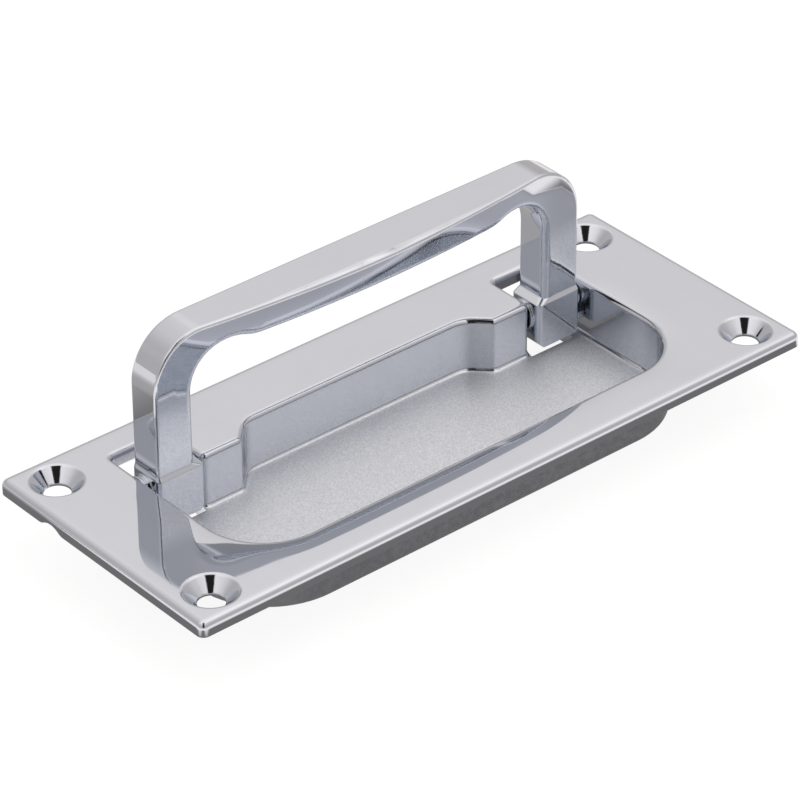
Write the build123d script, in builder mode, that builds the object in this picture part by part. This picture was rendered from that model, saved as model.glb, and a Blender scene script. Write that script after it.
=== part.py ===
from build123d import *
import os

# Flush folding handle, in millimetres. The origin is the centre of the screw pattern on the underside of the
# flange, +X runs along the plate, +Z points out of the panel and the finger room of the dish is at +Y.
# The bail stands up at rest and folds towards -Y until its back lies just below the plate's top.

# Bail
bail_reach = 33.6
bail_depth = 7.5
arm_centre_spacing = 96.8
arm_width = 8.9
grip_height = 6.3
grip_belly = 3.1
belly_blend_radius = 60.0
outer_corner_radius = 11.3
inner_corner_radius = 8.8
grip_step = 1.2
grip_step_length = 7.0
outer_edge_radius = 0.6
inner_edge_radius = 1.5
grip_round_radius = 1.8
grip_round_lead = 0.4
grip_round_sagitta = 1.5

# Feet of the bail
foot_outer_flare = 0.3
foot_inner_flare = 1.75
foot_toe = 0.6
foot_drop = 6.4
foot_height = 10.0
foot_edge_radius = 1.0
foot_inner_cut = 1.4
foot_outer_cut = 1.0
shoulder_height = 0.9

# Pivot
pivot_depth = 3.4
pin_diameter = 3.0
pin_running_clearance = 0.05
pin_seat = 5.0
pin_chamfer = 0.3
hub_radius = 3.2
hub_clearance = 0.25

# Stop that keeps the bail upright
stop_clearance = 0.05
stop_offset = 1.55
stop_drop = 3.6
stop_height = 1.5
stop_thickness = 1.1

# Dish and flange
plate_thickness = 3.1
plate_edge_radius = 1.4
plate_corner_margin = 0.15
front_land = 10.35
back_land = 7.55
end_land = 20.2
dish_wall = 2.3
dish_front_wall = 2.9
dish_corner_wall = 1.8
dish_floor = 2.5
dish_bottom_radius = 1.5
dish_back_radius = 2.0
rim_radius = 1.1
floor_radius = 1.2
finger_room_depth = 4.45
finger_room_width = 55.2
finger_room_radius = 6.0
block_corner_radius = 1.4
slot_corner_radius = 1.2
slot_lip = 0.7
slot_ledge = 2.4
toe_overhang = 1.75
fold_sink = 0.5
fold_clearance = 1.4
corner_clearance = 2.2
grip_clearance = 0.9
end_clearance = 1.65
block_clearance = 0.8
swing_clearance = 2.2
pin_groove_radius = 4.2
pin_groove_headroom = 0.4
pin_groove_blend = 2.5

# Screw holes for M5 countersunk screws
screw_inset_x = 8.0
screw_inset_y = 7.5
screw_hole_diameter = 5.4
countersink_diameter = 10.6
countersink_edge_radius = 0.8

# Half lengths along X that follow from the sizes above
arm_outer = arm_centre_spacing / 2 + arm_width / 2
arm_inner = arm_centre_spacing / 2 - arm_width / 2
foot_outer = arm_outer + foot_outer_flare
foot_inner = arm_inner - foot_inner_flare
end_wall = foot_outer + end_clearance
block_side = foot_inner - block_clearance
dish_end = end_wall + dish_wall
plate_length = 2 * (end_wall + end_land)

# Places along Y
plate_width = front_land + fold_clearance + bail_reach + foot_drop + swing_clearance + back_land
front_wall = front_land - plate_width / 2
pivot_y = front_wall + fold_clearance + bail_reach
slot_back = pivot_y + foot_drop + swing_clearance
bail_back = pivot_y + pivot_depth
arm_front = bail_back - bail_depth
foot_front = arm_front - foot_toe
block_face = foot_front + toe_overhang
finger_wall = block_face + finger_room_depth
slot_front = block_face - slot_lip
dish_back = finger_wall + dish_wall
dish_front = front_wall - dish_front_wall

# Heights
pivot_z = plate_thickness - fold_sink - pivot_depth
bail_top = pivot_z + bail_reach
sole = pivot_z - foot_drop
shoulder = sole + foot_height
shoulder_top = shoulder + shoulder_height
recess_depth = fold_sink + bail_depth + grip_belly + grip_clearance
floor_top = plate_thickness - recess_depth
dish_bottom = floor_top - dish_floor

# The plate's corners stay a little rounder than its edge. In front the dish is rounder outside than inside,
# and its wall thins to dish_corner_wall in those two corners.
plate_corner_radius = plate_edge_radius + plate_corner_margin
recess_corner_radius = outer_corner_radius + corner_clearance
diagonal = 2**0.5
corner_thickening = (dish_wall + dish_front_wall) / diagonal - dish_corner_wall
dish_corner_radius = recess_corner_radius + corner_thickening / (diagonal - 1)
pin_radius = pin_diameter / 2
pin_inner_end = block_side - pin_seat
screw_spacing_x = plate_length - 2 * screw_inset_x
screw_spacing_y = plate_width - 2 * screw_inset_y

# Dish, flange and pivot blocks in one casting
with BuildPart() as base_plate:
    with BuildSketch():
        RectangleRounded(plate_length, plate_width, plate_corner_radius)
    extrude(amount=plate_thickness)
    fillet(base_plate.edges().group_by(Axis.Z)[-1], plate_edge_radius)

    with BuildSketch():
        with BuildLine():
            FilletPolyline(
                (-dish_end, dish_front),
                (dish_end, dish_front),
                (dish_end, dish_back),
                (-dish_end, dish_back),
                radius=[
                    dish_corner_radius,
                    dish_corner_radius,
                    dish_back_radius,
                    dish_back_radius,
                ],
                close=True,
            )
        make_face()
    extrude(amount=dish_bottom)
    fillet(base_plate.edges().group_by(Axis.Z)[0], dish_bottom_radius)

    # The hollow above the floor takes in the recess, the finger room and both slots.
    with BuildSketch(Plane.XY.offset(floor_top)):
        with BuildLine():
            FilletPolyline(
                (-end_wall, front_wall),
                (end_wall, front_wall),
                (end_wall, slot_back),
                (block_side, slot_back),
                (block_side, block_face),
                (finger_room_width / 2 + finger_room_depth, block_face),
                (finger_room_width / 2, finger_wall),
                (-finger_room_width / 2, finger_wall),
                (-finger_room_width / 2 - finger_room_depth, block_face),
                (-block_side, block_face),
                (-block_side, slot_back),
                (-end_wall, slot_back),
                radius=[
                    recess_corner_radius,
                    recess_corner_radius,
                    slot_corner_radius,
                    slot_corner_radius,
                    block_corner_radius,
                    block_corner_radius,
                    finger_room_radius,
                    finger_room_radius,
                    block_corner_radius,
                    block_corner_radius,
                    slot_corner_radius,
                    slot_corner_radius,
                ],
                close=True,
            )
        make_face()
    extrude(amount=recess_depth, mode=Mode.SUBTRACT)
    floor_face = base_plate.faces().filter_by(lambda face: abs(face.center().Z - floor_top) < 0.01)
    fillet(floor_face.edges().filter_by(lambda edge: edge.center().Y < dish_back - 0.01), floor_radius)

    # Under each foot the slot runs right through the casting, up to a ledge along the end wall.
    slot_end = end_wall - slot_ledge
    with BuildSketch(Plane.XY.offset(dish_bottom)):
        for side in (-1, 1):
            with Locations((side * (slot_end + block_side) / 2, (slot_front + slot_back) / 2)):
                Rectangle(slot_end - block_side, slot_back - slot_front)
    extrude(amount=dish_floor + floor_radius, mode=Mode.SUBTRACT)

    top_face = base_plate.faces().filter_by(Axis.Z).sort_by(Axis.Z)[-1]
    fillet(top_face.inner_wires().edges(), rim_radius)

    # Stop pads on the end walls, in front of the tongues on the feet.
    pad_width = end_clearance - hub_clearance
    pad_y = pivot_y - stop_offset - stop_clearance - stop_thickness / 2
    with Locations((0, pad_y, pivot_z - stop_drop - stop_height / 2)):
        with Locations((-end_wall, 0, 0), (end_wall, 0, 0)):
            Box(2 * pad_width, stop_thickness, stop_height)

    # Pin bores from the outer walls into the blocks, and the grooves that let the pins in under the flange.
    groove_z = pivot_z + pin_radius + pin_groove_headroom - pin_groove_radius
    groove_length = plate_length / 2 - dish_end
    for side in (-1, 1):
        with Locations((side * (pin_inner_end + dish_end) / 2, pivot_y, pivot_z)):
            Cylinder(pin_radius, dish_end - pin_inner_end, rotation=(0, 90, 0), mode=Mode.SUBTRACT)
        with Locations((side * (dish_end + groove_length / 2), pivot_y, groove_z)):
            Cylinder(pin_groove_radius, groove_length, rotation=(0, 90, 0), mode=Mode.SUBTRACT)
    groove_edges = base_plate.edges().filter_by(Axis.X).filter_by_position(Axis.Z, -0.01, 0.01)
    groove_edges = groove_edges.filter_by(lambda edge: abs(edge.center().X) > dish_end + 0.01)
    groove_edges = groove_edges.filter_by(lambda edge: abs(edge.center().Y - pivot_y) < pin_groove_radius)
    fillet(groove_edges, pin_groove_blend)

    with Locations((0, 0, plate_thickness)):
        with GridLocations(screw_spacing_x, screw_spacing_y, 2, 2):
            CounterSinkHole(screw_hole_diameter / 2, countersink_diameter / 2, counter_sink_angle=90)
    sink_rims = base_plate.edges().filter_by(GeomType.CIRCLE).filter_by_position(
        Axis.Z, plate_thickness - 0.01, plate_thickness + 0.01
    )
    sink_rims = sink_rims.filter_by(lambda edge: abs(edge.radius - countersink_diameter / 2) < 0.01)
    fillet(sink_rims, countersink_edge_radius)

# One foot with its hubs and stop tongue, on the right
with BuildPart() as foot:
    with BuildSketch(Plane.XZ.offset(-bail_back)):
        with BuildLine():
            Polyline(
                (foot_inner, shoulder),
                (foot_outer, shoulder),
                (foot_outer, sole + foot_outer_cut),
                (foot_outer - foot_outer_cut, sole),
                (foot_inner + foot_inner_cut, sole),
                (foot_inner, sole + foot_inner_cut),
                close=True,
            )
        make_face()
    extrude(amount=bail_back - foot_front)
    upright_edges = foot.edges().filter_by(Axis.Z)
    fillet(upright_edges.group_by(Axis.Y)[0], foot_edge_radius)
    fillet(foot.edges().filter_by(Axis.Z).group_by(Axis.Y)[-1], outer_edge_radius)

    # The shoulder draws the foot in to the section of the arm.
    with BuildSketch(Plane.XY.offset(shoulder)):
        with BuildLine():
            FilletPolyline(
                (foot_inner, foot_front),
                (foot_outer, foot_front),
                (foot_outer, bail_back),
                (foot_inner, bail_back),
                radius=[foot_edge_radius, foot_edge_radius, outer_edge_radius, outer_edge_radius],
                close=True,
            )
        make_face()
    with BuildSketch(Plane.XY.offset(shoulder_top)):
        with BuildLine():
            FilletPolyline(
                (arm_inner, arm_front),
                (arm_outer, arm_front),
                (arm_outer, bail_back),
                (arm_inner, bail_back),
                radius=[inner_edge_radius, outer_edge_radius, outer_edge_radius, outer_edge_radius],
                close=True,
            )
        make_face()
    loft()

    # Hubs on both sides of the foot run against the block and the end wall.
    hub_inner = block_side + hub_clearance
    hub_outer = end_wall - hub_clearance
    with Locations(((hub_inner + hub_outer) / 2, pivot_y, pivot_z)):
        Cylinder(hub_radius, hub_outer - hub_inner, rotation=(0, 90, 0))
    tongue_drop = stop_drop + stop_height
    with Locations(((foot_outer + hub_outer) / 2, pivot_y, pivot_z - tongue_drop / 2)):
        Box(hub_outer - foot_outer, 2 * stop_offset, tongue_drop)

# Bail: arms and grip in one profile, bellied to the front, with a foot at each end
with BuildPart() as bail_handle:
    grip_bottom = bail_top - grip_height
    corner_top = grip_bottom + grip_step
    corner_side = arm_inner - inner_corner_radius
    step_end = corner_side - grip_step_length
    with BuildSketch(Plane.XZ.offset(-bail_back)):
        with BuildLine():
            Line((0, bail_top), (arm_outer - outer_corner_radius, bail_top))
            RadiusArc(
                (arm_outer - outer_corner_radius, bail_top),
                (arm_outer, bail_top - outer_corner_radius),
                outer_corner_radius,
            )
            Line((arm_outer, bail_top - outer_corner_radius), (arm_outer, shoulder))
            Line((arm_outer, shoulder), (arm_inner, shoulder))
            Line((arm_inner, shoulder), (arm_inner, corner_top - inner_corner_radius))
            RadiusArc(
                (arm_inner, corner_top - inner_corner_radius),
                (corner_side, corner_top),
                -inner_corner_radius,
            )
            step_start = TangentArc(
                (corner_side, corner_top),
                ((corner_side + step_end) / 2, (corner_top + grip_bottom) / 2),
                tangent=(-1, 0),
            )
            TangentArc(step_start @ 1, (step_end, grip_bottom), tangent=step_start % 1)
            Line((step_end, grip_bottom), (0, grip_bottom))
            mirror(about=Plane.YZ)
        make_face()
    extrude(amount=bail_depth + grip_belly)

    with BuildSketch(Plane.XY.offset(shoulder)) as plan:
        with BuildLine():
            Polyline(
                (arm_inner, arm_front),
                (arm_outer, arm_front),
                (arm_outer, bail_back),
                (-arm_outer, bail_back),
                (-arm_outer, arm_front),
                (-arm_inner, arm_front),
            )
            ThreePointArc((-arm_inner, arm_front), (0, arm_front - grip_belly), (arm_inner, arm_front))
        make_face()
        belly_ends = plan.vertices().filter_by(lambda corner: abs(abs(corner.X) - arm_inner) < 0.01)
        fillet(belly_ends, belly_blend_radius)
    extrude(amount=bail_top - shoulder, mode=Mode.INTERSECT)

    # The grip's top front edge is rounded along a flatter arc than the belly, so it fades in the corners.
    round_front = arm_front - grip_belly - grip_round_lead
    round_axis = round_front + arm_inner**2 / (2 * grip_round_sagitta)
    with BuildSketch(Plane.YZ) as round_section:
        with BuildLine():
            FilletPolyline(
                (bail_back + 1, shoulder),
                (round_front, shoulder),
                (round_front, bail_top),
                (bail_back + 1, bail_top),
                radius=[0, 0, grip_round_radius, 0],
                close=True,
            )
        make_face()
    round_turn = 6
    revolve(
        round_section.sketch.rotate(Axis((0, round_axis, 0), (0, 0, 1)), -round_turn),
        axis=Axis((0, round_axis, 0), (0, 0, 1)),
        revolution_arc=2 * round_turn,
        mode=Mode.INTERSECT,
    )

    side_faces = bail_handle.faces().filter_by(lambda face: abs(face.normal_at().Y) < 0.01)
    walls = side_faces.filter_by(lambda face: face.center().Z > shoulder + 0.01)
    profile_edges = walls.edges().filter_by(Axis.Y, reverse=True)
    inner_edges = profile_edges.filter_by(lambda edge: abs(edge.center().X) < arm_inner + 0.01)
    inner_edges = inner_edges.filter_by(lambda edge: edge.center().Z < corner_top + 0.01)
    inner_front_edges = inner_edges.filter_by(lambda edge: edge.center().Y < bail_back - 0.01)
    fillet(inner_front_edges, inner_edge_radius)

    side_faces = bail_handle.faces().filter_by(lambda face: abs(face.normal_at().Y) < 0.01)
    walls = side_faces.filter_by(lambda face: face.center().Z > shoulder + 0.01)
    arm_sides = walls.filter_by(lambda face: abs(face.center().X) > arm_inner + 0.01)
    grip_top = walls.filter_by(lambda face: face.center().Z > bail_top - 0.01)
    outer_edges = (arm_sides + grip_top).edges().filter_by(Axis.Y, reverse=True)
    back_face = bail_handle.faces().sort_by(Axis.Y)[-1]
    back_edges = back_face.edges().filter_by(lambda edge: edge.center().Z > shoulder + 0.01)
    fillet(outer_edges + back_edges, outer_edge_radius)

    add(foot)
    add(mirror(foot.part, about=Plane.YZ))
    hub_centre = (hub_inner + hub_outer) / 2
    with Locations((-hub_centre, pivot_y, pivot_z), (hub_centre, pivot_y, pivot_z)):
        Cylinder(
            pin_radius + pin_running_clearance,
            hub_outer - hub_inner,
            rotation=(0, 90, 0),
            mode=Mode.SUBTRACT,
        )

# Pins
with BuildPart() as pivot_pin_right:
    with Locations(((pin_inner_end + dish_end) / 2, pivot_y, pivot_z)):
        Cylinder(pin_radius, dish_end - pin_inner_end, rotation=(0, 90, 0))
    chamfer(pivot_pin_right.edges().filter_by(GeomType.CIRCLE), pin_chamfer)

with BuildPart() as pivot_pin_left:
    mirror(pivot_pin_right.part, about=Plane.YZ)

base_plate.part.label = "base_plate"
bail_handle.part.label = "bail_handle"
pivot_pin_left.part.label = "pivot_pin_left"
pivot_pin_right.part.label = "pivot_pin_right"

os.makedirs("parts", exist_ok=True)
export_step(base_plate.part, "parts/base_plate.step")
export_step(bail_handle.part, "parts/bail_handle.step")
export_step(pivot_pin_left.part, "parts/pivot_pin_left.step")
export_step(pivot_pin_right.part, "parts/pivot_pin_right.step")
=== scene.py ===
import math

import bpy
from mathutils import Matrix, Vector


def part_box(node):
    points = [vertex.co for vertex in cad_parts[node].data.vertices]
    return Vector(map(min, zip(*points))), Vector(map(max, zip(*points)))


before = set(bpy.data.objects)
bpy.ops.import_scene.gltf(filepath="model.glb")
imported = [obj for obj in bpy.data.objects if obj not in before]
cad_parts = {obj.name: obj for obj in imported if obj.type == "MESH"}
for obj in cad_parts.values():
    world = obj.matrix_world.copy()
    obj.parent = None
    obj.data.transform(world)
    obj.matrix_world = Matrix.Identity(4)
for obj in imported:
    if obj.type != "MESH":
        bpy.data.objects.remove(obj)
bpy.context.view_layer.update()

# Camera, in metres and degrees, with its lens in millimetres. Azimuth 0 looks along +Y and 90 along -X.
CAMERA_PLACE = Vector((-0.46281, -0.54516, 0.47405))
CAMERA_AZIMUTH = -40.179
CAMERA_ELEVATION = 33.323
CAMERA_ROLL = 0.31
CAMERA_LENS = 200.77

# Sizes of the plate, in metres: the flange beside the recess, the floor below it, its corners and its rim,
# and how far the middle of a slot lies from the recess's end and from the plate's back edge
END_LAND = 0.0202
FRONT_LAND = 0.01035
FINGER_ROOM_LAND = 0.01465
DISH_FLOOR = 0.0025
RECESS_CORNER_RADIUS = 0.0135
RIM_RADIUS = 0.0011
SLOT_FROM_END = 0.0079
SLOT_FROM_BACK = 0.01365

# Heights and places on the handle, in metres, from the plate's box in the frame
PLATE_TOP_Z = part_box("base_plate")[1].z
FLOOR_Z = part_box("base_plate")[0].z
PLATE_HALF_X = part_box("base_plate")[1].x
PLATE_HALF_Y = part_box("base_plate")[1].y
RECESS_FLOOR_Z = FLOOR_Z + DISH_FLOOR
RECESS_END_X = PLATE_HALF_X - END_LAND
RECESS_FRONT_Y = FRONT_LAND - PLATE_HALF_Y
RECESS_BACK_Y = PLATE_HALF_Y - FINGER_ROOM_LAND
SLOT_MIDDLE_X = RECESS_END_X - SLOT_FROM_END
SLOT_MIDDLE_Y = PLATE_HALF_Y - SLOT_FROM_BACK

# Slight slopes of the castings, made in shading: widths and places in metres, slopes as rise over run. The
# flange draws in to the recess, less and less towards the slots and not at all behind the feet, and it falls
# off in a strip along its outer edge. The front of the bail leans.
DRAW_IN_WIDTH = 0.0055
DRAW_IN_SLOPE = 0.07
DRAW_IN_OVER_RIM = 0.0015
DRAW_IN_FADE_Y = (0.006, 0.012)
DRAW_IN_END_Y = (0.018, 0.020)
FALL_OFF_WIDTH = 0.0028
FALL_OFF_SLOPE = 0.05
FALL_OFF_STRIP = (0.0030, 0.0040)
FRONT_LEAN = 0.044

# Where one finish of the plate fades into the next, in metres: three heights above the recess floor, two
# heights in the frame and two distances past a wall of the recess
SAND_FADE = (0.00010, 0.00060)
FLOOR_FADE = (-0.0010, -0.0005)
BOTTOM_FADE = (-0.0020, -0.0012)
RIM_FADE_Z = (PLATE_TOP_Z - 0.0016, PLATE_TOP_Z - 0.0006)
UNDER_FLANGE_FADE_Z = (-0.0006, -0.0002)
INNER_WALL_FADE = (0.0, 0.0010)
OUTER_WALL_FADE = (0.0012, 0.0018)

# The bail's front: the heights where its painted sheen, a lighter colour that stands in for a brighter
# reflection, comes in above the foot and where its mottle ends on the arm, and the least share of that
# painted sheen on the foot and between the specks
PAINTED_SHEEN_START_Z = (0.001, 0.008)
MOTTLE_END_Z = (0.015, 0.021)
PAINTED_SHEEN_LEAST_ON_FOOT = 0.15
PAINTED_SHEEN_LEAST_BETWEEN_SPECKS = 0.4

# Faces that look up or to the front, by that part of their normal
FACES_UP = (0.75, 0.97)
FACES_FRONT = (-0.97, -0.85)

# Softened edges: radius in metres, and samples
EDGE_SOFTNESS = 0.0004
EDGE_SAMPLES = 6

# Colours, as linear values
CHROME = (0.612, 0.645, 0.700, 1.0)
WORN_CHROME = (0.575, 0.605, 0.655, 1.0)
CAST_CHROME = (0.520, 0.545, 0.590, 1.0)
SATIN_CHROME = (0.700, 0.730, 0.780, 1.0)
# The next chrome is a painted sheen, lighter than the metal, for the front of the bail
PAINTED_SHEEN_CHROME = (0.880, 0.910, 0.960, 1.0)
SAND_DARK = (0.74, 0.78, 0.86, 1.0)
SAND_LIGHT = (0.96, 0.99, 1.0, 1.0)
PIN_STEEL = (0.48, 0.47, 0.46, 1.0)
LIGHT_STEEL = (0.56, 0.55, 0.54, 1.0)
STUDIO_TINT = (1.050, 0.985, 0.958, 1.0)
FLOOR_PAPER = (0.17, 0.17, 0.17, 1.0)
FLOOR_BOUNCE = (0.80, 0.80, 0.80, 1.0)
WHITE = (1.0, 1.0, 1.0, 1.0)

# Roughness, from the smoothest to the roughest spot of each finish
POLISHED_ROUGHNESS = (0.025, 0.055)
FRONT_ROUGHNESS = (0.05, 0.10)
SATIN_ROUGHNESS = (0.10, 0.18)
CAST_ROUGHNESS = (0.22, 0.38)
PIN_ROUGHNESS = (0.24, 0.38)
SAND_ROUGHNESS = 0.60

# Marks in the metal, as noise: scale per metre, detail and roughness. The pin's rings are stretched first.
PLATE_SMUDGES = (60.0, 4.0, 0.55)
BAIL_SMUDGES = (70.0, 4.0, 0.55)
PLATE_RIPPLES = (140.0, 2.0, 0.4)
BAIL_RIPPLES = (150.0, 2.0, 0.4)
CAST_MARKS = (700.0, 4.0, 0.65)
MOTTLE = (1700.0, 3.0, 0.6)
FINE_MOTTLE = (3600.0, 2.0, 0.6)
GRAIN = (5000.0, 2.0, 0.6)
COARSE_GRAIN = (1900.0, 2.0, 0.5)
PIN_RINGS = (1.0, 2.0, 0.5)
PIN_RING_STRETCH = (9000.0, 300.0, 300.0)

# Spans of that noise over which a finish changes, and how much of the wear shows at most
FINISH_SPAN = (0.30, 0.70)
SPECK_SPAN = (0.35, 0.65)
GRAIN_SPAN = (0.40, 0.60)
SMUDGE_SPAN = (0.35, 0.70)
WEAR_SPAN = (0.40, 0.80)
WEAR_SHARE = 0.45

# Depth of the marks: strength and distance in metres of each bump, then heights as shares of that distance,
# and last the coarse grain's share beside the fine grain
PLATE_BUMP = (0.55, 0.00005)
BAIL_BUMP = (0.50, 0.00005)
PIN_BUMP = (0.25, 0.00002)
PLATE_RIPPLE_HEIGHT = 0.12
BAIL_RIPPLE_HEIGHT = 0.10
PLATE_MOTTLE_HEIGHT = 0.16
BAIL_MOTTLE_HEIGHT = 0.12
SAND_HEIGHT = 1.5
COARSE_GRAIN_SHARE = 0.6

# The studio's patches of light: azimuth, elevation, inner and outer radius in degrees, and added level
LIGHT_PATCHES = (
    (48.0, 37.0, 8.0, 17.0, 0.16),
    (110.0, 48.0, 10.0, 32.0, -0.15),
    (-25.0, 53.0, 8.0, 24.0, 0.16),
    (-50.0, 35.0, 3.0, 14.0, -0.07),
)

# The studio's level, its ceiling that brightens upwards, and the dark gap behind the camera. The spans are
# parts of the unit vector towards a place: its rise, its part across the gap and its part towards the gap.
STUDIO_LEVEL = 0.60
CEILING_GAIN = 0.60
CEILING_RISE = (0.20, 0.85)
DARK_GAP_AZIMUTH = -124.0
DARK_GAP_LEVEL = 0.02
DARK_GAP_SIDES = (0.22, 0.27)
DARK_GAP_TOP = (0.28, 0.34)

# The floor's size in metres, and its levels: how metal sees it, with a painted shadow of the handle close to
# the plate and painted shade just behind it, and last its own glow for the camera
FLOOR_SIZE = 6.0
FLOOR_PAINTED_SHADOW = 0.22
FLOOR_BRIGHT = 1.18
FLOOR_FAR = 0.55
FLOOR_PAINTED_SHADE_LEFT_CORNER = (0.21, 0.52)
FLOOR_PAINTED_SHADE_BEHIND = 0.50
FLOOR_GLOW = 0.90

# Where those levels give way to each other, in metres: distances past the plate, then the place along X where
# the darker left corner of the painted shade behind ends, the distance from the left slot's middle where its
# painted light ends, and the middle along Y of the painted shadow, which reaches a little farther at the back
PAINTED_SHADOW_TO_BRIGHT = (0.014, 0.019)
BRIGHT_TO_FAR = (0.04, 0.22)
BESIDE_TO_BEHIND = (0.0, 0.008)
BEHIND_TO_FAR = (0.040, 0.120)
LEFT_CORNER_RISE = (0.006, 0.030)
LEFT_CORNER_END_X = (-0.055, -0.035)
PAINTED_SLOT_LIGHT_END = (0.011, 0.013)
PAINTED_SHADOW_MIDDLE_Y = 0.0025


class Graph:
    """A node tree with short calls for making and joining its nodes."""

    def __init__(self, tree):
        self.tree = tree
        tree.nodes.clear()

    def add(self, kind, inputs=None, **settings):
        node = self.tree.nodes.new(kind)
        for name, value in settings.items():
            setattr(node, name, value)
        for key, value in (inputs or {}).items():
            if isinstance(value, bpy.types.NodeSocket):
                self.tree.links.new(value, node.inputs[key])
            else:
                node.inputs[key].default_value = value
        return node

    def math(self, operation, a, b=0.0):
        node = self.add("ShaderNodeMath", {0: a, 1: b}, operation=operation)
        return node.outputs[0]

    def square(self, value):
        return self.math("MULTIPLY", value, value)

    def clamp(self, value, low=0.0, high=1.0):
        return self.add("ShaderNodeClamp", {"Value": value, "Min": low, "Max": high}).outputs[0]

    def dot(self, vector, direction):
        node = self.add("ShaderNodeVectorMath", {0: vector, 1: direction}, operation="DOT_PRODUCT")
        return node.outputs["Value"]

    def ramp(self, value, low, high, start=0.0, end=1.0):
        """Goes smoothly from start to end as value goes from low to high."""
        inputs = {"Value": value, "From Min": low, "From Max": high, "To Min": start, "To Max": end}
        node = self.add("ShaderNodeMapRange", inputs, interpolation_type="SMOOTHSTEP")
        return node.outputs["Result"]

    def noise(self, vector, scale, detail, roughness):
        inputs = {"Vector": vector, "Scale": scale, "Detail": detail, "Roughness": roughness}
        return self.add("ShaderNodeTexNoise", inputs).outputs["Fac"]

    def mix(self, factor, a, b):
        """A number between a and b."""
        node = self.add("ShaderNodeMix", {"Factor": factor, 2: a, 3: b}, data_type="FLOAT")
        return node.outputs[0]

    def tint(self, factor, a, b):
        """A colour between a and b."""
        node = self.add("ShaderNodeMix", {"Factor": factor, 6: a, 7: b}, data_type="RGBA")
        return node.outputs[2]


def new_material(name):
    material = bpy.data.materials.new(name)
    material.use_nodes = True
    return material, Graph(material.node_tree)


def surface_place(graph):
    """The point on the object as one vector and as X, Y, Z, and the way its face points as X, Y, Z."""
    place = graph.add("ShaderNodeTexCoord")
    where = place.outputs["Object"]
    xyz = graph.add("ShaderNodeSeparateXYZ", {0: where}).outputs
    facing = graph.add("ShaderNodeSeparateXYZ", {0: place.outputs["Normal"]}).outputs
    return where, xyz, facing


def polish(graph, where, smudges):
    """Roughness and colour of polished chrome with faint smudges."""
    smudge = graph.noise(where, *smudges)
    roughness = graph.ramp(smudge, *SMUDGE_SPAN, *POLISHED_ROUGHNESS)
    wear = graph.ramp(smudge, *WEAR_SPAN, 0.0, WEAR_SHARE)
    return roughness, graph.tint(wear, CHROME, WORN_CHROME)


def finish_metal(graph, color, roughness, height, bump_strength, bump_distance, form=0.0, form_share=0.0):
    """Joins a metal's values. Form is a slight slope or draw-in of the casting, as a height in metres."""
    soft_edges = graph.add("ShaderNodeBevel", {"Radius": EDGE_SOFTNESS}, samples=EDGE_SAMPLES)
    slope = graph.add(
        "ShaderNodeBump",
        {"Strength": form_share, "Distance": 1.0, "Height": form, "Normal": soft_edges.outputs[0]},
    )
    bump = graph.add(
        "ShaderNodeBump",
        {"Strength": bump_strength, "Distance": bump_distance, "Height": height, "Normal": slope.outputs[0]},
    )
    shader = graph.add(
        "ShaderNodeBsdfPrincipled",
        {"Base Color": color, "Metallic": 1.0, "Roughness": roughness, "Normal": bump.outputs[0]},
    )
    graph.add("ShaderNodeOutputMaterial", {"Surface": shader.outputs[0]})


def plate_zones(graph, xyz, facing, side_x):
    """Shares of the sandy recess floor, the satin recess and the dull outside of the dish, from 0 to 1."""
    height_above_floor = graph.math("SUBTRACT", xyz["Z"], RECESS_FLOOR_Z)
    near_floor = graph.ramp(height_above_floor, *SAND_FADE, 1.0, 0.0)
    above_bottom = graph.ramp(height_above_floor, *FLOOR_FADE)
    faces_up = graph.ramp(facing["Z"], *FACES_UP)
    sandy = graph.math("MULTIPLY", graph.math("MULTIPLY", near_floor, above_bottom), faces_up)

    past_end = graph.math("SUBTRACT", side_x, RECESS_END_X)
    past_front = graph.math("SUBTRACT", RECESS_FRONT_Y, xyz["Y"])
    past_back = graph.math("SUBTRACT", xyz["Y"], RECESS_BACK_Y)
    inside_x = graph.ramp(past_end, *INNER_WALL_FADE, 1.0, 0.0)
    inside_y = graph.ramp(past_front, *INNER_WALL_FADE, 1.0, 0.0)
    inside = graph.math("MULTIPLY", inside_x, inside_y)
    below_rim = graph.ramp(xyz["Z"], *RIM_FADE_Z, 1.0, 0.0)
    satin = graph.math("MULTIPLY", graph.math("MULTIPLY", below_rim, inside), above_bottom)

    past_any = graph.math("MAXIMUM", graph.math("MAXIMUM", past_front, past_back), past_end)
    past_wall = graph.ramp(past_any, *OUTER_WALL_FADE)
    past_bottom = graph.ramp(height_above_floor, *BOTTOM_FADE, 1.0, 0.0)
    under_flange = graph.ramp(xyz["Z"], *UNDER_FLANGE_FADE_Z, 1.0, 0.0)
    outside = graph.math("MULTIPLY", graph.math("MAXIMUM", past_wall, past_bottom), under_flange)
    return sandy, satin, outside


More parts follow.
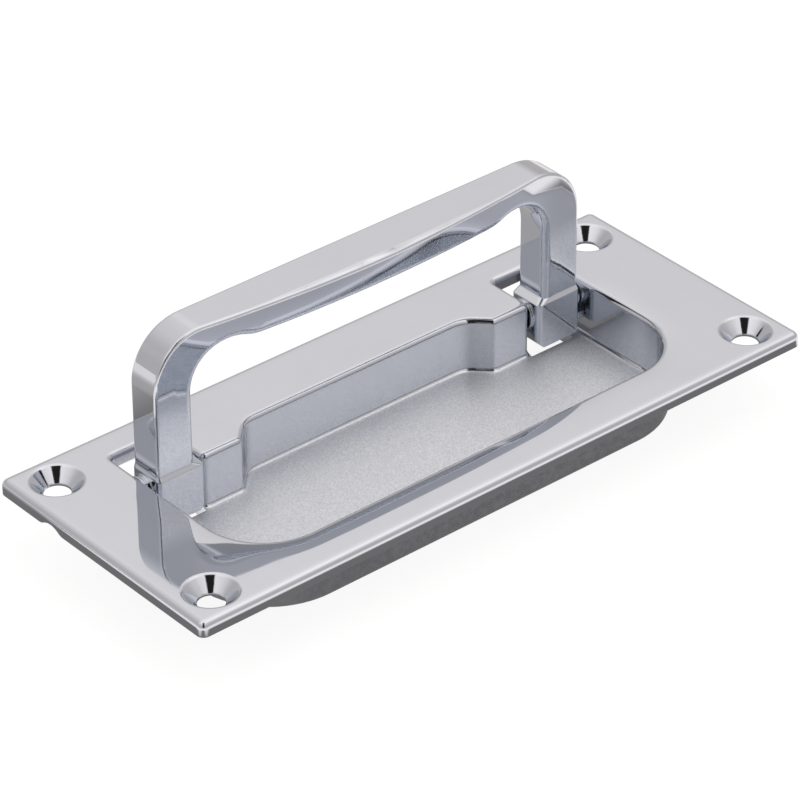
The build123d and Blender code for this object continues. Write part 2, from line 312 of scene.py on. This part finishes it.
def flange_form(graph, xyz, side_x):
    """Height and share of the flange's slight slopes, towards the recess and towards its outer edge."""
    # The flange draws in gently to the recess, in front and at both ends.
    past_corner_x = graph.math("SUBTRACT", side_x, RECESS_END_X - RECESS_CORNER_RADIUS)
    past_corner_y = graph.math("SUBTRACT", RECESS_FRONT_Y + RECESS_CORNER_RADIUS, xyz["Y"])
    corner_x = graph.math("MAXIMUM", past_corner_x, 0.0)
    corner_y = graph.math("MAXIMUM", past_corner_y, 0.0)
    round_part = graph.math("SQRT", graph.math("ADD", graph.square(corner_x), graph.square(corner_y)))
    straight_part = graph.math("MINIMUM", graph.math("MAXIMUM", past_corner_x, past_corner_y), 0.0)
    from_wall = graph.math("SUBTRACT", graph.math("ADD", round_part, straight_part), RECESS_CORNER_RADIUS)
    from_rim = graph.math("SUBTRACT", from_wall, RIM_RADIUS)
    nearness = graph.math("SUBTRACT", 1.0, graph.math("DIVIDE", from_rim, DRAW_IN_WIDTH))
    sink = graph.math("POWER", graph.clamp(nearness), 3.0)
    sink = graph.math("MULTIPLY", sink, -DRAW_IN_SLOPE * DRAW_IN_WIDTH / 3)
    over_rim = graph.math("MULTIPLY", graph.clamp(from_rim, -DRAW_IN_OVER_RIM, 0.0), DRAW_IN_SLOPE)
    draw_in = graph.math("ADD", sink, over_rim)
    before_slots = graph.ramp(xyz["Y"], *DRAW_IN_FADE_Y, 1.0, 0.0)

    # It falls off gently to its outer edge, all round.
    from_end = graph.math("SUBTRACT", PLATE_HALF_X, side_x)
    from_side = graph.math("SUBTRACT", PLATE_HALF_Y, graph.math("ABSOLUTE", xyz["Y"]))
    from_edge = graph.math("MINIMUM", from_end, from_side)
    closeness = graph.math("SUBTRACT", 1.0, graph.math("DIVIDE", from_edge, FALL_OFF_WIDTH))
    fall_off = graph.square(graph.clamp(closeness))
    fall_off = graph.math("MULTIPLY", fall_off, -FALL_OFF_SLOPE * FALL_OFF_WIDTH / 2)
    near_edge = graph.ramp(from_edge, *FALL_OFF_STRIP, 1.0, 0.0)

    behind_feet = graph.ramp(xyz["Y"], *DRAW_IN_END_Y)
    form = graph.mix(behind_feet, graph.math("ADD", draw_in, fall_off), fall_off)
    return form, graph.math("MAXIMUM", before_slots, near_edge)


def plate_material():
    """Chrome that is polished on the flange, satin in the recess, sandy on its floor and dull outside."""
    material, graph = new_material("plate_chrome")
    where, xyz, facing = surface_place(graph)
    side_x = graph.math("ABSOLUTE", xyz["X"])
    sandy, satin, outside = plate_zones(graph, xyz, facing, side_x)

    grain = graph.noise(where, *GRAIN)
    coarse_grain = graph.noise(where, *COARSE_GRAIN)
    mottle = graph.noise(where, *MOTTLE)
    fine_mottle = graph.noise(where, *FINE_MOTTLE)
    ripple = graph.noise(where, *PLATE_RIPPLES)
    cast = graph.noise(where, *CAST_MARKS)

    roughness, color = polish(graph, where, PLATE_SMUDGES)
    roughness = graph.mix(satin, roughness, graph.ramp(mottle, *FINISH_SPAN, *SATIN_ROUGHNESS))
    roughness = graph.mix(sandy, roughness, SAND_ROUGHNESS)
    roughness = graph.mix(outside, roughness, graph.ramp(cast, *FINISH_SPAN, *CAST_ROUGHNESS))

    clouding = graph.math("MULTIPLY", graph.ramp(fine_mottle, *SPECK_SPAN), satin)
    sand_color = graph.tint(graph.ramp(grain, *GRAIN_SPAN), SAND_DARK, SAND_LIGHT)
    cast_color = graph.tint(graph.ramp(cast, *SPECK_SPAN), CAST_CHROME, CHROME)
    color = graph.tint(clouding, color, SATIN_CHROME)
    color = graph.tint(sandy, color, sand_color)
    color = graph.tint(outside, color, cast_color)

    sand = graph.math("ADD", grain, graph.math("MULTIPLY", coarse_grain, COARSE_GRAIN_SHARE))
    smooth_height = graph.math("MULTIPLY", ripple, PLATE_RIPPLE_HEIGHT)
    satin_height = graph.math("MULTIPLY", mottle, PLATE_MOTTLE_HEIGHT)
    height = graph.mix(satin, smooth_height, satin_height)
    height = graph.mix(sandy, height, graph.math("MULTIPLY", sand, SAND_HEIGHT))
    height = graph.mix(outside, height, cast)
    form, form_share = flange_form(graph, xyz, side_x)
    finish_metal(graph, color, roughness, height, *PLATE_BUMP, form, form_share)
    return material


def bail_material():
    """Chrome that is polished all round and finely mottled low on the front of the arms and feet, with a
    painted sheen there: a lighter colour, fullest above the feet, in place of a brighter reflection.
    """
    material, graph = new_material("bail_chrome")
    where, xyz, facing = surface_place(graph)
    faces_front = graph.ramp(facing["Y"], *FACES_FRONT, 1.0, 0.0)
    front = graph.math("MULTIPLY", faces_front, graph.ramp(xyz["Z"], *MOTTLE_END_Z, 1.0, 0.0))
    mottle = graph.noise(where, *MOTTLE)
    fine_mottle = graph.noise(where, *FINE_MOTTLE)
    ripple = graph.noise(where, *BAIL_RIPPLES)

    roughness, color = polish(graph, where, BAIL_SMUDGES)
    roughness = graph.mix(front, roughness, graph.ramp(mottle, *FINISH_SPAN, *FRONT_ROUGHNESS))
    # Painted sheen: the front is made lighter in colour above the feet, in mottled specks, standing in for a
    # brighter reflection there.
    painted_sheen = graph.math("MULTIPLY", front, graph.ramp(xyz["Z"], *PAINTED_SHEEN_START_Z, PAINTED_SHEEN_LEAST_ON_FOOT, 1.0))
    specks = graph.ramp(fine_mottle, *SPECK_SPAN, PAINTED_SHEEN_LEAST_BETWEEN_SPECKS, 1.0)
    color = graph.tint(graph.math("MULTIPLY", painted_sheen, specks), color, PAINTED_SHEEN_CHROME)

    smooth_height = graph.math("MULTIPLY", ripple, BAIL_RIPPLE_HEIGHT)
    front_height = graph.math("MULTIPLY", mottle, BAIL_MOTTLE_HEIGHT)
    height = graph.mix(front, smooth_height, front_height)
    lean = graph.math("MULTIPLY", xyz["Z"], FRONT_LEAN)
    finish_metal(graph, color, roughness, height, *BAIL_BUMP, lean, faces_front)
    return material


def pin_material():
    """Plain steel with fine rings round the pin from turning."""
    material, graph = new_material("pin_steel")
    place = graph.add("ShaderNodeTexCoord")
    turned = graph.add("ShaderNodeMapping", {"Vector": place.outputs["Object"], "Scale": PIN_RING_STRETCH})
    rings = graph.noise(turned.outputs[0], *PIN_RINGS)
    roughness = graph.ramp(rings, *FINISH_SPAN, *PIN_ROUGHNESS)
    color = graph.tint(rings, PIN_STEEL, LIGHT_STEEL)
    finish_metal(graph, color, roughness, rings, *PIN_BUMP)
    return material


def dress_nodes():
    """Gives each piece of the handle its finish."""
    pin_steel = pin_material()
    materials = {
        "base_plate": plate_material(),
        "bail_handle": bail_material(),
        "pivot_pin_left": pin_steel,
        "pivot_pin_right": pin_steel,
    }
    for name, node_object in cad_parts.items():
        for slot in node_object.material_slots:
            slot.material = materials[name]


def unit(azimuth, elevation):
    """The direction at an angle from +X towards +Y, and an angle above the horizon, in degrees."""
    a, e = math.radians(azimuth), math.radians(elevation)
    return Vector((math.cos(a) * math.cos(e), math.sin(a) * math.cos(e), math.sin(e)))


def seen_directly(graph):
    """The ray kinds, and 1 for what the camera sees, also through something clear."""
    rays = graph.add("ShaderNodeLightPath").outputs
    return rays, graph.math("MAXIMUM", rays["Is Camera Ray"], rays["Is Transmission Ray"])


def make_world():
    """A white studio. Metal sees a bright ceiling over dimmer sides, and the camera sees plain white."""
    world = bpy.data.worlds.new("studio")
    bpy.context.scene.world = world
    world.use_nodes = True
    graph = Graph(world.node_tree)
    toward = graph.add("ShaderNodeTexCoord").outputs["Generated"]

    rise = graph.dot(toward, Vector((0, 0, 1)))
    low, high = CEILING_RISE
    climb = graph.add("ShaderNodeMapRange", {"Value": rise, "From Min": low, "From Max": high}).outputs[0]
    level = graph.math("MULTIPLY", graph.square(climb), CEILING_GAIN)
    level = graph.math("ADD", level, STUDIO_LEVEL)
    for azimuth, elevation, inner, outer, amount in LIGHT_PATCHES:
        facing = graph.dot(toward, unit(azimuth, elevation))
        patch = graph.ramp(facing, math.cos(math.radians(outer)), math.cos(math.radians(inner)))
        level = graph.math("ADD", level, graph.math("MULTIPLY", patch, amount))
    across = graph.dot(toward, unit(DARK_GAP_AZIMUTH + 90.0, 0.0))
    strip = graph.ramp(graph.math("ABSOLUTE", across), *DARK_GAP_SIDES, 1.0, 0.0)
    behind_camera = graph.ramp(graph.dot(toward, unit(DARK_GAP_AZIMUTH, 0.0)), *DARK_GAP_TOP)
    level = graph.mix(graph.math("MULTIPLY", strip, behind_camera), level, DARK_GAP_LEVEL)

    rays, seen = seen_directly(graph)
    strength = graph.mix(seen, level, 1.0)
    color = graph.tint(seen, STUDIO_TINT, WHITE)
    background = graph.add("ShaderNodeBackground", {"Color": color, "Strength": strength})
    graph.add("ShaderNodeOutputWorld", {"Surface": background.outputs[0]})


def mirrored_floor_shade_and_light(graph):
    """How bright the floor looks in the metal: a painted shadow of the handle close to it, bright past it,
    dimmer far off.
    """
    place = graph.add("ShaderNodeTexCoord")
    xyz = graph.add("ShaderNodeSeparateXYZ", {0: place.outputs["Object"]}).outputs
    past_x = graph.math("SUBTRACT", graph.math("ABSOLUTE", xyz["X"]), PLATE_HALF_X)
    from_middle_y = graph.math("ABSOLUTE", graph.math("SUBTRACT", xyz["Y"], PAINTED_SHADOW_MIDDLE_Y))
    past_y = graph.math("SUBTRACT", from_middle_y, PLATE_HALF_Y + PAINTED_SHADOW_MIDDLE_Y)
    away = graph.math("MAXIMUM", past_x, past_y)
    bright = graph.ramp(away, *PAINTED_SHADOW_TO_BRIGHT, FLOOR_PAINTED_SHADOW, FLOOR_BRIGHT)
    bright = graph.math("MULTIPLY", bright, graph.ramp(away, *BRIGHT_TO_FAR, 1.0, FLOOR_FAR))

    # Just behind the plate the floor has painted shade, darker still at the left corner, which gives way to a
    # plain level farther back.
    past_back = graph.math("SUBTRACT", xyz["Y"], PLATE_HALF_Y)
    behind = graph.ramp(past_back, *BESIDE_TO_BEHIND)
    far_behind = graph.ramp(past_back, *BEHIND_TO_FAR)
    left_corner = graph.ramp(away, *LEFT_CORNER_RISE, *FLOOR_PAINTED_SHADE_LEFT_CORNER)
    to_right = graph.ramp(xyz["X"], *LEFT_CORNER_END_X)
    just_behind = graph.mix(to_right, left_corner, FLOOR_PAINTED_SHADE_BEHIND)
    bright = graph.mix(behind, bright, graph.mix(far_behind, just_behind, 1.0))

    # Under the left slot the floor is painted white, a patch of painted light which lights the slot's walls.
    from_slot_x = graph.math("ABSOLUTE", graph.math("ADD", xyz["X"], SLOT_MIDDLE_X))
    from_slot_y = graph.math("ABSOLUTE", graph.math("SUBTRACT", xyz["Y"], SLOT_MIDDLE_Y))
    open_x = graph.ramp(from_slot_x, *PAINTED_SLOT_LIGHT_END, 1.0, 0.0)
    open_y = graph.ramp(from_slot_y, *PAINTED_SLOT_LIGHT_END, 1.0, 0.0)
    return graph.mix(graph.math("MULTIPLY", open_x, open_y), bright, 1.0)


def make_floor():
    """A white floor that keeps a faint shadow. Metal sees it as a glow with a painted shadow close to the
    handle.
    """
    bpy.ops.mesh.primitive_plane_add(size=FLOOR_SIZE, location=(0.0, 0.0, FLOOR_Z))
    floor = bpy.context.object
    floor.name = "studio_floor"
    material, graph = new_material("floor_white")
    rays, seen = seen_directly(graph)
    paper = graph.add("ShaderNodeBsdfDiffuse", {"Color": FLOOR_PAPER})
    glow = graph.add("ShaderNodeEmission", {"Color": WHITE, "Strength": FLOOR_GLOW})
    lit = graph.add("ShaderNodeAddShader", {0: paper.outputs[0], 1: glow.outputs[0]})
    bounce = graph.add("ShaderNodeBsdfDiffuse", {"Color": FLOOR_BOUNCE})
    level = mirrored_floor_shade_and_light(graph)
    mirrored = graph.add("ShaderNodeEmission", {"Color": STUDIO_TINT, "Strength": level})
    unseen = graph.add(
        "ShaderNodeMixShader",
        {"Fac": rays["Is Glossy Ray"], 1: bounce.outputs[0], 2: mirrored.outputs[0]},
    )
    whole = graph.add("ShaderNodeMixShader", {"Fac": seen, 1: unseen.outputs[0], 2: lit.outputs[0]})
    graph.add("ShaderNodeOutputMaterial", {"Surface": whole.outputs[0]})
    floor.data.materials.append(material)


def make_camera():
    """The camera of the photo, with its azimuth, elevation and roll turned into a matrix."""
    azimuth = math.radians(CAMERA_AZIMUTH)
    elevation = math.radians(CAMERA_ELEVATION)
    forward = Vector(
        (
            -math.sin(azimuth) * math.cos(elevation),
            math.cos(azimuth) * math.cos(elevation),
            -math.sin(elevation),
        )
    )
    right = forward.cross(Vector((0, 0, 1))).normalized()
    up = right.cross(forward)
    turn = Matrix((right, up, -forward)).transposed().to_4x4()
    camera_data = bpy.data.cameras.new("photo_camera")
    camera_data.lens = CAMERA_LENS
    camera = bpy.data.objects.new("photo_camera", camera_data)
    roll = Matrix.Rotation(math.radians(-CAMERA_ROLL), 4, "Z")
    camera.matrix_world = Matrix.Translation(CAMERA_PLACE) @ turn @ roll
    bpy.context.scene.collection.objects.link(camera)
    bpy.context.scene.camera = camera


dress_nodes()
make_world()
make_floor()
make_camera()
bpy.context.scene.view_settings.view_transform = "Standard"
